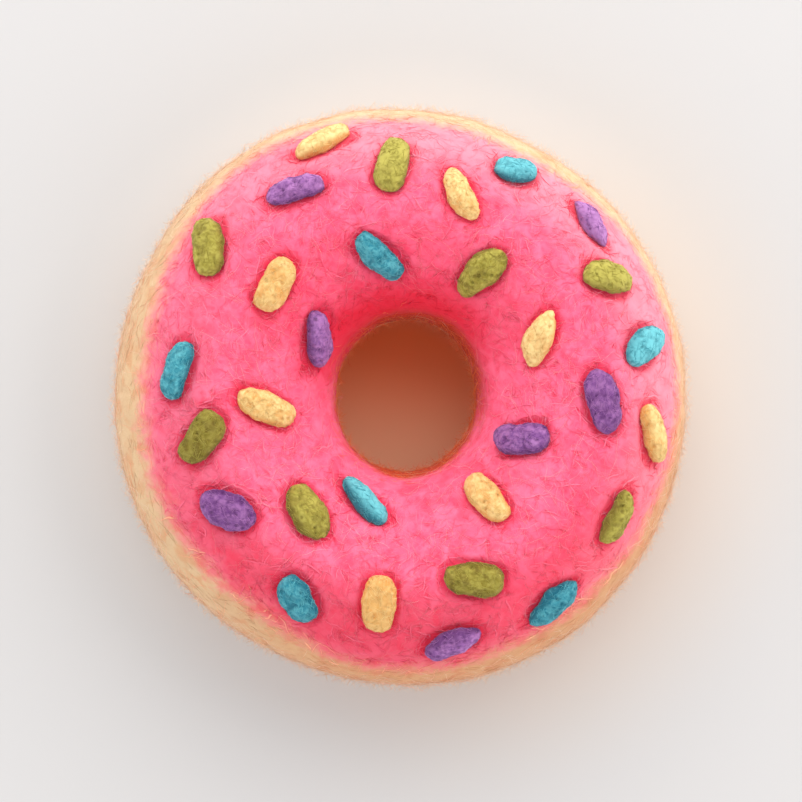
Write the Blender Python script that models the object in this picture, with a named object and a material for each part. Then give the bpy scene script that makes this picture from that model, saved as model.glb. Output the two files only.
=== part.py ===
"""A ring doughnut made of needle-felted wool, built as the real one is.

A buttery wool ring carries a pink wool icing, let into the ring so that its edge lies flush,
and thirty wool sprinkles are felted into the icing. Metres, +Z up. The origin is the middle
of the footprint, on the surface that the doughnut rests on. Bearings run anticlockwise from
+X seen from above, and a lift is an angle round the ring's section: 0 at its outermost point,
90 degrees at the crown and 180 at the hole.
"""

import math

import bmesh
import bpy
from mathutils import Vector, noise

MM = 0.001

# The ring
OUTLINE_RADIUS = 45.0 * MM
HOLE_RADIUS = 11.4 * MM
GIRTH_HEIGHT = 15.5 * MM  # height of the widest point
CROWN_RISE = 16.3 * MM  # from the widest point up to the crown
BELLY_DROP = 17.1 * MM  # the section's round lower half, cut off by the flat foot
# Slow unevenness of hand felting: waves round the ring, their rise, and the bearing of a crest
OUTLINE_WAVES = ((2, 0.40 * MM, 122), (3, 0.15 * MM, 86), (4, 0.22 * MM, 26))
HOLE_WAVES = ((1, 0.97 * MM, 21), (2, 0.55 * MM, 80))
LUMP_SIZE = 9.0 * MM
LUMP_RISE = 0.35 * MM
LUMP_FADE_HEIGHT = 6.0 * MM  # lumps die away towards the flat foot

# The icing
ICING_THICKNESS = 2.0 * MM
ICING_LIP = 0.5 * MM  # its thickness at the edge
ICING_PROUD = 0.4 * MM  # how far its middle stands above the ring's own section
ICING_RAMP = 3.0 * MM  # from the edge to full thickness
# Reach of its outer edge, from the bearing 0 on, every 20 degrees
ICING_EDGE_REACH = [
    reach * MM
    for reach in (
        42.8, 43.1, 43.0, 42.0, 42.5, 42.9, 43.0, 41.9, 39.8,
        39.4, 40.1, 39.4, 39.0, 40.8, 41.3, 41.4, 42.0, 42.5,
    )
]
INNER_EDGE_DROP = 72.0  # degrees from the crown down to the icing's edge in the hole
INNER_EDGE_SWAY = 4.0  # degrees, deepest on the side away from +X
GAP = 0.3 * MM  # between the icing and the ring

# The sprinkles
SPRINKLE_RISE = 2.1 * MM
SPRINKLE_ROOT = 0.9 * MM  # how deep it is felted into the icing
ROUND, OVAL, POINTED = 2.7, 2.2, 1.7  # how full its ends are
GREEN, PURPLE, TEAL, YELLOW = "green", "purple", "teal", "yellow"
# Colour, bearing, reach in mm, turn of the long side from +X, length and width in mm, ends
SPRINKLES = (
    (TEAL, 12, 37.8, 56, 7.0, 5.4, OVAL),
    (YELLOW, 23, 23.4, 70, 9.4, 4.7, POINTED),
    (GREEN, 30, 36.3, 163, 7.7, 5.0, ROUND),
    (PURPLE, 42.5, 39.3, 124, 8.8, 3.5, POINTED),
    (GREEN, 57, 23.1, 40, 9.2, 5.0, OVAL),
    (TEAL, 63, 38.8, 168, 6.8, 4.8, OVAL),
    (YELLOW, 73.5, 32.4, 117, 9.2, 4.5, POINTED),
    (GREEN, 92, 35.4, 74, 8.3, 5.1, ROUND),
    (TEAL, 98.5, 22.2, 142, 9.0, 4.5, ROUND),
    (YELLOW, 107, 40.7, 26, 9.2, 3.9, ROUND),
    (PURPLE, 117, 35.3, 18, 9.4, 4.0, ROUND),
    (YELLOW, 138, 26.0, 63, 9.1, 5.0, ROUND),
    (GREEN, 142, 37.1, 91, 9.0, 5.5, ROUND),
    (PURPLE, 145, 16.1, 90, 9.0, 4.4, ROUND),
    (TEAL, 173, 34.1, 72, 9.4, 4.3, ROUND),
    (YELLOW, 184, 20.9, 156, 9.3, 4.8, ROUND),
    (GREEN, 191.5, 30.9, 55, 9.1, 5.2, ROUND),
    (PURPLE, 213, 31.4, 154, 9.4, 5.8, OVAL),
    (GREEN, 231, 22.7, 121, 9.6, 5.8, OVAL),
    (TEAL, 243, 34.4, 122, 7.9, 5.2, ROUND),
    (TEAL, 250.5, 17.2, 136, 9.5, 4.1, OVAL),
    (YELLOW, 264, 31.5, 85, 8.6, 5.5, ROUND),
    (PURPLE, 282, 38.1, 21, 9.5, 4.5, OVAL),
    (GREEN, 292, 29.9, 177, 9.5, 5.4, ROUND),
    (TEAL, 306.5, 39.0, 43, 10.1, 4.7, POINTED),
    (YELLOW, 311, 20.8, 130, 8.1, 4.7, ROUND),
    (GREEN, 331, 37.4, 64, 9.1, 4.1, OVAL),
    (PURPLE, 341.5, 20.0, 7, 8.3, 5.0, ROUND),
    (YELLOW, 352, 38.9, 99, 9.3, 4.0, ROUND),
    (PURPLE, 359, 30.8, 103, 10.5, 5.4, OVAL),
)

# How finely the solids are divided
COLUMNS = 72
ICING_TOP_ROWS = 15
ICING_UNDER_ROWS = 11
WALL_ROWS = 5  # the ring's wall in the hole
FOOT_ROWS = 2
FLANK_ROWS = 7  # the ring's outer flank
SPRINKLE_RINGS = 6
SPRINKLE_SIDES = 9

# Base colour and roughness of each wool
WOOLS = {
    "ring_wool": ((0.90, 0.66, 0.32), 0.95),
    "icing_wool": ((0.95, 0.13, 0.25), 0.95),
    "green_wool": ((0.42, 0.42, 0.06), 0.95),
    "purple_wool": ((0.25, 0.11, 0.44), 0.95),
    "teal_wool": ((0.04, 0.34, 0.42), 0.95),
    "yellow_wool": ((0.90, 0.58, 0.20), 0.95),
}


def clear_scene():
    for obj in list(bpy.data.objects):
        bpy.data.objects.remove(obj)


def wool(name):
    """The named wool, a matt fabric of one colour."""
    colour, roughness = WOOLS[name]
    material = bpy.data.materials.get(name) or bpy.data.materials.new(name)
    material.diffuse_color = (*colour, 1.0)
    material.use_nodes = True
    shader = material.node_tree.nodes["Principled BSDF"]
    shader.inputs["Base Color"].default_value = (*colour, 1.0)
    shader.inputs["Roughness"].default_value = roughness
    shader.inputs["Metallic"].default_value = 0.0
    return material


def smooth_step(t):
    t = min(max(t, 0.0), 1.0)
    return t * t * (3.0 - 2.0 * t)


def swell(bearing, waves):
    """The sum of slow waves round the ring."""
    return sum(rise * math.cos(count * (bearing - math.radians(crest))) for count, rise, crest in waves)


def curve_through(values, bearing):
    """A smooth closed curve through values spaced evenly round the ring."""
    place = bearing / math.tau * len(values)
    first = math.floor(place)
    t = place - first
    a, b, c, d = (values[(first + step) % len(values)] for step in (-1, 0, 1, 2))
    return b + 0.5 * t * (c - a + t * (2 * a - 5 * b + 4 * c - d + t * (3 * (b - c) + d - a)))


def section(bearing):
    """The reach of the middle of the ring's section, and half its width."""
    outer = OUTLINE_RADIUS + swell(bearing, OUTLINE_WAVES)
    inner = HOLE_RADIUS + swell(bearing, HOLE_WAVES)
    return (outer + inner) / 2, (outer - inner) / 2


def half_height(lift):
    return CROWN_RISE if math.sin(lift) > 0 else BELLY_DROP


def outward(bearing, lift):
    """The direction straight out of the ring's surface."""
    _, half_width = section(bearing)
    across = math.cos(lift) / half_width
    up = math.sin(lift) / half_height(lift)
    direction = Vector((across * math.cos(bearing), across * math.sin(bearing), up))
    return direction.normalized()


def ring_point(bearing, lift, above=0.0):
    """A point on the ring's surface, or a distance above it."""
    middle, half_width = section(bearing)
    reach = middle + half_width * math.cos(lift)
    height = GIRTH_HEIGHT + half_height(lift) * math.sin(lift)
    point = Vector((reach * math.cos(bearing), reach * math.sin(bearing), height))
    lump = LUMP_RISE * noise.noise(point / LUMP_SIZE) * smooth_step(height / LUMP_FADE_HEIGHT)
    point += outward(bearing, lift) * (above + lump)
    point.z = max(point.z, 0.0)
    return point


def lift_at(bearing, reach):
    """The lift of the upper surface under a plumb line at that reach."""
    middle, half_width = section(bearing)
    return math.acos(min(max((reach - middle) / half_width, -1.0), 1.0))


def icing_edges(bearing):
    """The lifts of the icing's outer and inner edges."""
    outer = lift_at(bearing, curve_through(ICING_EDGE_REACH, bearing))
    inner_drop = INNER_EDGE_DROP - INNER_EDGE_SWAY * math.cos(bearing)
    return outer, math.radians(90.0 + inner_drop)


def icing_fullness(bearing, lift):
    """0 at the icing's edge, rising to 1 where it has its full thickness."""
    outer, inner = icing_edges(bearing)
    from_edge = min(lift - outer, inner - lift) * CROWN_RISE
    return smooth_step(from_edge / ICING_RAMP)


def icing_lifts(bearing, rows):
    """Lifts across the icing from its outer edge to its inner one, closest near the edges."""
    outer, inner = icing_edges(bearing)
    shares = [(1 - math.cos(math.pi * row / rows)) / 2 for row in range(rows + 1)]
    return [outer + (inner - outer) * share for share in shares]


def icing_top(bearing, lift):
    return ring_point(bearing, lift, ICING_PROUD * icing_fullness(bearing, lift))


def icing_depth(bearing, lift):
    """How far below the ring's own surface the icing's underside lies."""
    return ICING_LIP + (ICING_THICKNESS - ICING_LIP) * icing_fullness(bearing, lift)


def even_steps(start, end, count):
    """count values from start on, evenly spaced, without end itself."""
    return [start + (end - start) * step / count for step in range(count)]


def icing_loop(bearing):
    """The icing's section at one bearing: over the top, then back underneath."""
    top = [icing_top(bearing, lift) for lift in icing_lifts(bearing, ICING_TOP_ROWS)]
    under = [
        ring_point(bearing, lift, -icing_depth(bearing, lift))
        for lift in icing_lifts(bearing, ICING_UNDER_ROWS)
    ]
    return top + under[::-1]


def ring_loop(bearing):
    """The ring's section at one bearing: the bed of the icing, the hole's wall, the foot, the flank."""
    outer, inner = icing_edges(bearing)
    clear = GAP / CROWN_RISE
    bed_lifts = icing_lifts(bearing, ICING_UNDER_ROWS)
    bed_lifts[0] = outer - clear
    bed_lifts[-1] = inner + clear
    bed = [ring_point(bearing, lift, -icing_depth(bearing, lift) - GAP) for lift in bed_lifts]
    foot_half = math.acos(GIRTH_HEIGHT / BELLY_DROP)
    foot_start, foot_end = math.radians(270) - foot_half, math.radians(270) + foot_half
    bare = even_steps(inner + clear, foot_start, WALL_ROWS)
    bare += even_steps(foot_start, foot_end, FOOT_ROWS)
    bare += even_steps(foot_end, math.tau + outer - clear, FLANK_ROWS)
    bare.append(math.tau + outer - clear)
    return bed + [ring_point(bearing, lift) for lift in bare]


def solid_from_loops(name, loops, material):
    """A closed solid whose sections are the loops, joined round the ring."""
    mesh = bmesh.new()
    rings = [[mesh.verts.new(point) for point in loop] for loop in loops]
    for here, after in zip(rings, rings[1:] + rings[:1]):
        for corner in range(len(here)):
            ahead = (corner + 1) % len(here)
            mesh.faces.new((here[corner], here[ahead], after[ahead], after[corner]))
    return finished_object(name, mesh, material)


def finished_object(name, mesh, material):
    """The object of a closed mesh, in triangles with its faces pointing out and shaded smooth."""
    bmesh.ops.triangulate(mesh, faces=mesh.faces, quad_method="FIXED")
    bmesh.ops.recalc_face_normals(mesh, faces=mesh.faces)
    data = bpy.data.meshes.new(name)
    mesh.to_mesh(data)
    mesh.free()
    data.materials.append(material)
    data.shade_smooth()
    obj = bpy.data.objects.new(name, data)
    return obj


def sprinkle(index, colour, bearing, reach, turn, length, width, ends):
    """One sprinkle: a full-bodied grain that follows the icing under it, half sunk into it."""
    middle = Vector((math.cos(math.radians(bearing)), math.sin(math.radians(bearing)))) * reach * MM
    along = Vector((math.cos(math.radians(turn)), math.sin(math.radians(turn)))) * length * MM / 2
    half_width = width * MM / 2
    half_thickness = (SPRINKLE_RISE + SPRINKLE_ROOT) / 2

    def frame_at(share):
        """The icing's surface under the sprinkle's middle line: place, outward and sideways."""
        spot = middle + along * share
        spot_bearing = math.atan2(spot.y, spot.x)
        lift = lift_at(spot_bearing, spot.length)
        up = outward(spot_bearing, lift)
        side = up.cross(Vector((along.x, along.y, 0.0))).normalized()
        return icing_top(spot_bearing, lift), up, side

    mesh = bmesh.new()
    rings = []
    for station in range(1, SPRINKLE_RINGS + 1):
        share = -math.cos(math.pi * station / (SPRINKLE_RINGS + 1))
        fullness = (1 - abs(share) ** ends) ** (1 / ends)
        place, up, side = frame_at(share)
        core = place + up * (half_thickness - SPRINKLE_ROOT) * fullness
        ring = []
        for corner in range(SPRINKLE_SIDES):
            angle = math.tau * (corner + 0.5 * (index % 2)) / SPRINKLE_SIDES
            sideways = side * half_width * math.cos(angle)
            upwards = up * half_thickness * math.sin(angle)
            ring.append(mesh.verts.new(core + (sideways + upwards) * fullness))
        rings.append(ring)
    tips = [mesh.verts.new(frame_at(share)[0]) for share in (-1.0, 1.0)]
    for here, after in zip(rings, rings[1:]):
        for corner in range(SPRINKLE_SIDES):
            ahead = (corner + 1) % SPRINKLE_SIDES
            mesh.faces.new((here[corner], here[ahead], after[ahead], after[corner]))
    for tip, ring in zip(tips, (rings[0], rings[-1])):
        for corner in range(SPRINKLE_SIDES):
            mesh.faces.new((tip, ring[corner], ring[(corner + 1) % SPRINKLE_SIDES]))
    return finished_object(f"sprinkle_{index}", mesh, wool(f"{colour}_wool"))


def join_sprinkles(icing):
    """Fuses the sprinkles to the icing, which keeps their colours."""
    grains = bpy.data.collections.new("sprinkles")
    bpy.context.scene.collection.children.link(grains)
    for index, row in enumerate(SPRINKLES):
        grains.objects.link(sprinkle(index, *row))
    union = icing.modifiers.new("sprinkles", "BOOLEAN")
    union.operation = "UNION"
    union.operand_type = "COLLECTION"
    union.collection = grains
    union.solver = "EXACT"
    union.material_mode = "TRANSFER"
    graph = bpy.context.evaluated_depsgraph_get()
    fused = bpy.data.meshes.new_from_object(icing.evaluated_get(graph))
    icing.modifiers.remove(union)
    icing.data = fused
    for obj in list(grains.objects):
        bpy.data.objects.remove(obj)
    bpy.data.collections.remove(grains)


def main():
    clear_scene()
    bearings = even_steps(0.0, math.tau, COLUMNS)
    collection = bpy.context.scene.collection
    ring = solid_from_loops("ring", [ring_loop(bearing) for bearing in bearings], wool("ring_wool"))
    collection.objects.link(ring)
    icing = solid_from_loops("icing", [icing_loop(bearing) for bearing in bearings], wool("icing_wool"))
    collection.objects.link(icing)
    join_sprinkles(icing)


main()
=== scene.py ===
"""The looks of a needle-felted ring doughnut: butter-yellow wool, pink wool icing, wool sprinkles.

Each felted surface is a fine mesh of the frame's own form with its tufts and needle dimples
modelled, and loose fibres grow over it. Metres, in the frame: bearings run anticlockwise from
+X, and a lift is an angle round the ring's section, 0 at its outermost point and 90 degrees at
the crown.
"""

import math

import bpy
import numpy as np
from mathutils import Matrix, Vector, noise


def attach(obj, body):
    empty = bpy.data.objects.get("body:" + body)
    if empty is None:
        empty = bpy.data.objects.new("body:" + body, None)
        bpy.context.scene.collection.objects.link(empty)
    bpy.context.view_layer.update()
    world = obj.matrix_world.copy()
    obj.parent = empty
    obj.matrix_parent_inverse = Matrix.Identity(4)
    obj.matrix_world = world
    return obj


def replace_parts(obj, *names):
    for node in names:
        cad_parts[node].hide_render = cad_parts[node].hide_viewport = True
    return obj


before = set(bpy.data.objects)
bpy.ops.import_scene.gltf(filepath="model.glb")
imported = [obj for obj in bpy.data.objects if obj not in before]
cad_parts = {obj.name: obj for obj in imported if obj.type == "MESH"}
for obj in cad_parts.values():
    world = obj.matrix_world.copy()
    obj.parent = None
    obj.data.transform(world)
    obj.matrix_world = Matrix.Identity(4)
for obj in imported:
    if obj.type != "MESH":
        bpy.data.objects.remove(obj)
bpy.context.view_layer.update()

MM = 0.001

# The ring's form
OUTLINE_RADIUS = 45.0 * MM
HOLE_RADIUS = 11.4 * MM
GIRTH_HEIGHT = 15.5 * MM
CROWN_RISE = 16.3 * MM  # from the widest point up to the crown
BELLY_DROP = 17.1 * MM
OUTLINE_WAVES = ((2, 0.40 * MM, 122), (3, 0.15 * MM, 86), (4, 0.22 * MM, 26))
HOLE_WAVES = ((1, 0.97 * MM, 21), (2, 0.55 * MM, 80))
LUMP_SIZE = 9.0 * MM
LUMP_RISE = 0.35 * MM
LUMP_FADE_HEIGHT = 6.0 * MM

# The icing's form
ICING_THICKNESS = 2.0 * MM
ICING_PROUD = 0.4 * MM
ICING_RAMP = 3.0 * MM  # how far in from its edge the icing is at its full thickness
# The reach of the icing's outer edge at bearings evenly spaced round the ring
ICING_EDGE_REACH = MM * np.array((
    42.8, 43.1, 43.0, 42.0, 42.5, 42.9, 43.0, 41.9, 39.8,
    39.4, 40.1, 39.4, 39.0, 40.8, 41.3, 41.4, 42.0, 42.5,
))
INNER_EDGE_DROP = 72.0  # degrees from the crown down to its edge in the hole
INNER_EDGE_SWAY = 4.0
EDGE_TUCK = 0.5 * MM  # how far the icing's edge dives into the ring's wool
BED_START = 0.3 * MM  # how far inside the edge the ring's wool starts to dip under the icing

# The sprinkles
SPRINKLE_RISE = 2.1 * MM
SPRINKLE_ROOT = 0.9 * MM
ROUND, OVAL, POINTED = 2.7, 2.2, 1.7
GREEN, PURPLE, TEAL, YELLOW = "green", "purple", "teal", "yellow"
# Colour, bearing, reach in mm, turn of the long side from +X, length and width in mm, ends, and a tone added
# to
# its painted light and shade: above 0 paler, below 0 deeper
SPRINKLES = (
    (TEAL, 12, 37.8, 56, 7.0, 5.4, OVAL, 0.8),
    (YELLOW, 23, 23.4, 70, 9.4, 4.7, POINTED, 0.5),
    (GREEN, 30, 36.3, 163, 7.7, 5.0, ROUND, 0.3),
    (PURPLE, 42.5, 39.3, 124, 8.8, 3.5, POINTED, 1),
    (GREEN, 57, 23.1, 40, 9.2, 5.0, OVAL, 0),
    (TEAL, 63, 38.8, 168, 6.8, 4.8, OVAL, -0.2),
    (YELLOW, 73.5, 32.4, 117, 9.2, 4.5, POINTED, -0.25),
    (GREEN, 92, 35.4, 74, 8.3, 5.1, ROUND, 0.2),
    (TEAL, 98.5, 22.2, 142, 9.0, 4.5, ROUND, -0.3),
    (YELLOW, 107, 40.7, 26, 9.2, 3.9, ROUND, 0),
    (PURPLE, 117, 35.3, 18, 9.4, 4.0, ROUND, -0.15),
    (YELLOW, 138, 26.0, 63, 9.1, 5.0, ROUND, -0.25),
    (GREEN, 142, 37.1, 91, 9.0, 5.5, ROUND, 0.2),
    (PURPLE, 145, 16.1, 90, 9.0, 4.4, ROUND, 0.2),
    (TEAL, 173, 34.1, 72, 9.4, 4.3, ROUND, -0.1),
    (YELLOW, 184, 20.9, 156, 9.3, 4.8, ROUND, -0.1),
    (GREEN, 191.5, 30.9, 55, 9.1, 5.2, ROUND, -0.45),
    (PURPLE, 213, 31.4, 154, 9.4, 5.8, OVAL, -0.3),
    (GREEN, 231, 22.7, 121, 9.6, 5.8, OVAL, -0.25),
    (TEAL, 243, 34.4, 122, 7.9, 5.2, ROUND, -0.35),
    (TEAL, 250.5, 17.2, 136, 9.5, 4.1, OVAL, 0),
    (YELLOW, 264, 31.5, 85, 8.6, 5.5, ROUND, -0.5),
    (PURPLE, 282, 38.1, 21, 9.5, 4.5, OVAL, 0.1),
    (GREEN, 292, 29.9, 177, 9.5, 5.4, ROUND, -0.25),
    (TEAL, 306.5, 39.0, 43, 10.1, 4.7, POINTED, -0.3),
    (YELLOW, 311, 20.8, 130, 8.1, 4.7, ROUND, -0.2),
    (GREEN, 331, 37.4, 64, 9.1, 4.1, OVAL, 0.25),
    (PURPLE, 341.5, 20.0, 7, 8.3, 5.0, ROUND, -0.15),
    (YELLOW, 352, 38.9, 99, 9.3, 4.0, ROUND, 0.2),
    (PURPLE, 359, 30.8, 103, 10.5, 5.4, OVAL, -0.35),
)
CREASE_WIDTH = 0.5 * MM  # the pushed-in wool round a sprinkle
CREASE_DEPTH = 0.3 * MM
LAY_WIDTH = 0.9 * MM  # how far out the wool lies along a sprinkle's outline
CUFF_WIDTH = 0.6 * MM  # the loose wool close round a sprinkle
SPRINKLE_SHRINK = 0.96  # leaves room for the sprinkles' tufts and fibres
SPRINKLE_LUMP, SPRINKLE_LUMP_SIZE = 0.4 * MM, 2.8 * MM
SPRINKLE_BEND, SPRINKLE_TAPER = 0.22, 0.07  # the most that one bends, in mm, and widens to one end
SPRINKLE_WAVE = (0.01, 0.04)  # the least and the most that its sides wave in and out
SPRINKLE_SEED = 100
SPRINKLE_SHADE = 0.85  # how far up its sides the painted shade at its root reaches
# How squarely a sprinkle faces the window where painted light starts to pale its wool, what that has to grow
# by until it is palest, and how pale that is
PALE_START, PALE_GROWTH, PALEST = 0.76, 0.2, 0.9
HIDDEN_BELOW = -0.3  # the sine round a sprinkle below which it lies in the icing and grows no fibres

# Where the loose wool grows: the lift of the fuzz in the hole, and the degrees over which the fuzz of
# girth and hole thins out
THROAT_LIFT, RIM_SPREAD, THROAT_SPREAD = 174, 17.0, 13.0
ICED_END, ICED_FADE = 125, 32  # the lift where the icing's fibres thin out, and over how many degrees

# The colour edge of the icing, in mm from the felt's own edge: its pink wool strays out over the ring
BLEND_OUT, BLEND_IN = -4.2, 2.6
# Where the pink keeps further in: bearing, how far in mm, and how narrow that stretch is
BLEND_SLIPS = ((35, 1.6, 1), (205, 1.3, 2), (320, 0.9, 4), (115, -0.4, 6))
# Where the pink goes further down into the hole: bearing, radians of lift, how narrow that stretch is
HOLE_BLEND_SLIPS = ((225, 0.05, 1), (0, 0.22, 6), (140, 0.16, 3), (270, -0.12, 10))
HOLE_BLEND_SHARE = 2.4  # how much narrower the blend is there
HOLLOW_START, HOLLOW_FADE = 140, 15  # the lift where painted shade and painted reflected light turn the ring's wool orange, and over how many degrees

# Stretches where painted shade, and on the upper pink painted light, shifts the wool's colour: the bearing in
# the middle, the cosine off that bearing where the stretch starts and what that has to grow by, then the lift
# where it starts and the degrees over which it grows, down the outer slope where they are below 0
LOW_BUTTER_SHADE = 300, 0.1, 0.8, 68, -25
LEFT_BUTTER_SHADE = 195, -0.1, 0.8, 68, -25
LOWER_PINK_SHADE = 225, -0.2, 0.9, 95, -25
UPPER_PINK_LIGHT = 40, -0.8, 1.6, 80, -35
RED_SHADE_BY_HOLE = 94, 0.2, 0.5, 86, 20
RED_SHADE_IN_HOLE = 98, -0.2, 1.1, 114, 32
RED_SHADE_LOW_DOWN = 272, -0.1, 1.0, 96, -32
BROWN_SHADE_IN_HOLE = 58, 0.2, 0.6, 146, 24

# How finely the felt is meshed
COLUMNS = 720
ICING_ROWS, UNDER_ROWS = 116, 6
RING_ROWS = (10, 34, 9, 43)  # under the icing, down the hole, over the foot and up the outside
RING_SHOWN = 2 * MM  # how far the finer rows of the ring reach in under the icing
FOOT_FADE = 2 * MM  # how high above the flat foot the felt's tufts are at their full size
SKIN_COLUMNS, SKIN_ROWS, SKIN_LIFTS = 360, 120, (-50, 230)
SPRINKLE_RINGS, SPRINKLE_SIDES = 52, 60
SWIRL_SIZE, SWIRL_TURN = 7.0 * MM, 1.2  # the slow swirls that the icing's wool lies in

# Felting: size and rise of the tufts, spacing and depth of the needle dimples, in mm, and the first seed
ICING_FELTING = (2.0, 0.17, 1.5, 0.12, 3.0)
RING_FELTING = (2.2, 0.18, 2.6, 0.12, 9.0)
SPRINKLE_FELTING = (1.1, 0.24, 1.0, 0.32, 20.0)

# Light and camera
FLOOR_SIZE = 3.0
FLOOR_COLOUR = (0.61, 0.6, 0.59, 1.0)
# Painted light: a lighter floor close round the ring, where its shadow falls, fading out between the two
# distances
FLOOR_PAINTED_LIGHT, NEAR_END, NEAR_START = (0.665, 0.65, 0.635, 1.0), 58 * MM, 46 * MM
# The floor in the ring's warm light, how far out that reaches, and the bearing where it is strongest
FLOOR_BY_WOOL, WARM_END, WARM_START = (0.685, 0.62, 0.56, 1.0), 72 * MM, 44 * MM
WARM_BEARING = 340
# The warm light that comes through the wool into the hole
HOLE_FLOOR_TOP, HOLE_FLOOR_BOTTOM = (0.95, 0.3, 0.12, 1.0), (0.95, 0.66, 0.42, 1.0)
HOLE_GLOW, NO_GLOW = (0.075, 0.01, 0.0, 1.0), (0.0, 0.0, 0.0, 1.0)
HOLE_LIGHT_START, HOLE_LIGHT_END = 10 * MM, 22 * MM  # from the middle, where that light ends
HOLE_LIGHT_TURN = 12 * MM  # how far to either side of the middle its colour turns
SENSOR, LENS = 36.0, 166.7
CAMERA_HEIGHT = 600 * MM
CAMERA_X, CAMERA_Y = 0.06 * MM, -0.51 * MM
WINDOW_WIDTH, WINDOW_HEIGHT, WINDOW_DISTANCE = 1.1, 0.8, 0.8
WINDOW_BEARING, WINDOW_LIFT = 72, 46
WINDOW_POWER = 4.4
WINDOW_COLOUR = (1.0, 0.98, 0.96)
ROOM_BRIGHT, ROOM_DIM = (2.35, 2.33, 2.34, 1.0), (1.9, 1.91, 1.98, 1.0)
ROOM_TOP = (0.45, 0.45, 0.46, 1.0)


def rgb(*screen):
    """A colour from its red, green and blue on screen, 0 to 255."""
    return (*(((v / 255 + 0.055) / 1.055) ** 2.4 if v > 10 else v / 3294 for v in screen), 1.0)


# Wool colours: body, pale, deep
PINK = rgb(245, 86, 121), rgb(252, 128, 160), rgb(220, 36, 66)
BUTTER = rgb(218, 181, 136), rgb(234, 205, 168), rgb(208, 148, 98)
# Painted shade: amber butter on the lower right, straw butter on the left
AMBER_PAINTED_SHADE = rgb(193, 130, 86), rgb(206, 150, 102), rgb(192, 100, 58)
STRAW_PAINTED_SHADE = rgb(199, 164, 126), rgb(210, 180, 136), rgb(202, 136, 92)
PEACH_WOOL = rgb(248, 176, 140)
# Painted light: the pale pink of the slope that faces the window
PINK_PAINTED_LIGHT = rgb(253, 152, 166)
# Painted shade with painted reflected light from the pink: the ring's orange down in the hole
HOLE_PAINTED_SHADE = rgb(204, 66, 14)
# Painted shade: deep red by and in the hole and low down
RED_PAINTED_SHADE = rgb(224, 14, 44)
# Painted shade in the creases round the sprinkles
CREASE_PAINTED_SHADE = rgb(232, 26, 62)
# Painted shade: brown at the top of the hole
BROWN_PAINTED_SHADE = rgb(188, 58, 14)
# Painted shade: dusky pink on the lower left
PINK_PAINTED_SHADE = rgb(204, 106, 124)
SPRINKLE_WOOLS = {
    GREEN: (rgb(140, 128, 44), rgb(182, 172, 84), rgb(84, 64, 14)),
    PURPLE: (rgb(118, 68, 134), rgb(182, 126, 184), rgb(74, 28, 86)),
    TEAL: (rgb(38, 130, 148), rgb(112, 194, 202), rgb(0, 76, 96)),
    YELLOW: (rgb(208, 168, 100), rgb(242, 214, 150), rgb(206, 136, 62)),
}

# Loose wool. Name, where it grows, fibres to a mm2, length, thickness, curl, size of a curl, height
# and rise in mm, how far it follows the lay of the wool, points to a fibre, its dark and light tones
COATS = (
    ("pink_wisps", "iced", 0.5, 4.2, 0.36, 1.1, 2.0, -0.1, 0.0, 0.5, 8,
     rgb(248, 94, 128), rgb(252, 124, 152)),
    ("pink_fibres", "iced", 0.6, 3.6, 0.11, 0.9, 1.5, -0.02, 0.04, 0.5, 6,
     rgb(246, 90, 124), rgb(253, 122, 150)),
    ("pale_fibres", "iced", 0.6, 4.2, 0.06, 0.9, 1.7, 0.0, 0.2, 0.4, 6,
     rgb(250, 116, 144), rgb(254, 150, 170)),
    ("butter_fibres", "bare", 0.16, 3.6, 0.05, 0.8, 2.0, 0.0, 0.2, 0.6, 6,
     rgb(228, 188, 146), rgb(238, 206, 168)),
    ("fuzz", "all", 0.18, 4.0, 0.04, 1.2, 2.0, 0.12, 1.4, 0.3, 5,
     rgb(246, 136, 152), rgb(252, 186, 188)),
    ("rim_fuzz", "rim", 3.6, 2.4, 0.045, 0.8, 1.4, 0.1, 1.5, 0.3, 4,
     rgb(232, 194, 158), rgb(246, 222, 198)),
    # The cuffs are real loose wool round the sprinkles; their dark red is painted shade
    ("cuffs", "cuff", 3.2, 1.8, 0.08, 0.45, 1.0, 0.03, 0.4, 0.6, 5,
     rgb(228, 40, 74), rgb(246, 86, 116)),
    # The hole fuzz is real loose wool; its orange is painted shade with painted reflected light from the pink
    ("hole_fuzz", "throat", 3.6, 2.2, 0.04, 0.9, 1.6, 0.05, 1.5, 0.05, 5,
     rgb(236, 104, 44), rgb(250, 160, 104)),
)
SPRINKLE_COAT = (3.2, 1.5, 0.07, 0.4, 0.9, 0.0, 0.25, 0.4, 5)
COAT_SEED_STEP, SPRINKLE_COAT_SEED = 10, 100

# The lines of single fibres in a surface: the first set's shift and width, then those of the finer sets
LINES = (11.0, 0.09)
FINER_LINES = ((37.0, 0.07), (71.0, 0.08), (113.0, 0.06))
FINER_LINE_SCALE = 1.3
SURFACE_SHEEN, FIBRE_SHEEN = 0.15, 0.03


def smooth_step(t):
    t = np.clip(t, 0.0, 1.0)
    return t * t * (3.0 - 2.0 * t)


def thinning(distance, width):
    """1 at no distance, thinning out over a width."""
    return np.exp(-((distance / width) ** 2))


def swell(bearing, waves):
    return sum(rise * np.cos(count * (bearing - math.radians(crest))) for count, rise, crest in waves)


def curve_through(values, bearing):
    """A smooth closed curve through values spaced evenly round the ring."""
    place = bearing / math.tau * len(values)
    first = np.floor(place).astype(int)
    t = place - first
    a, b, c, d = (values[(first + step) % len(values)] for step in (-1, 0, 1, 2))
    return b + 0.5 * t * (c - a + t * (2 * a - 5 * b + 4 * c - d + t * (3 * (b - c) + d - a)))


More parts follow.
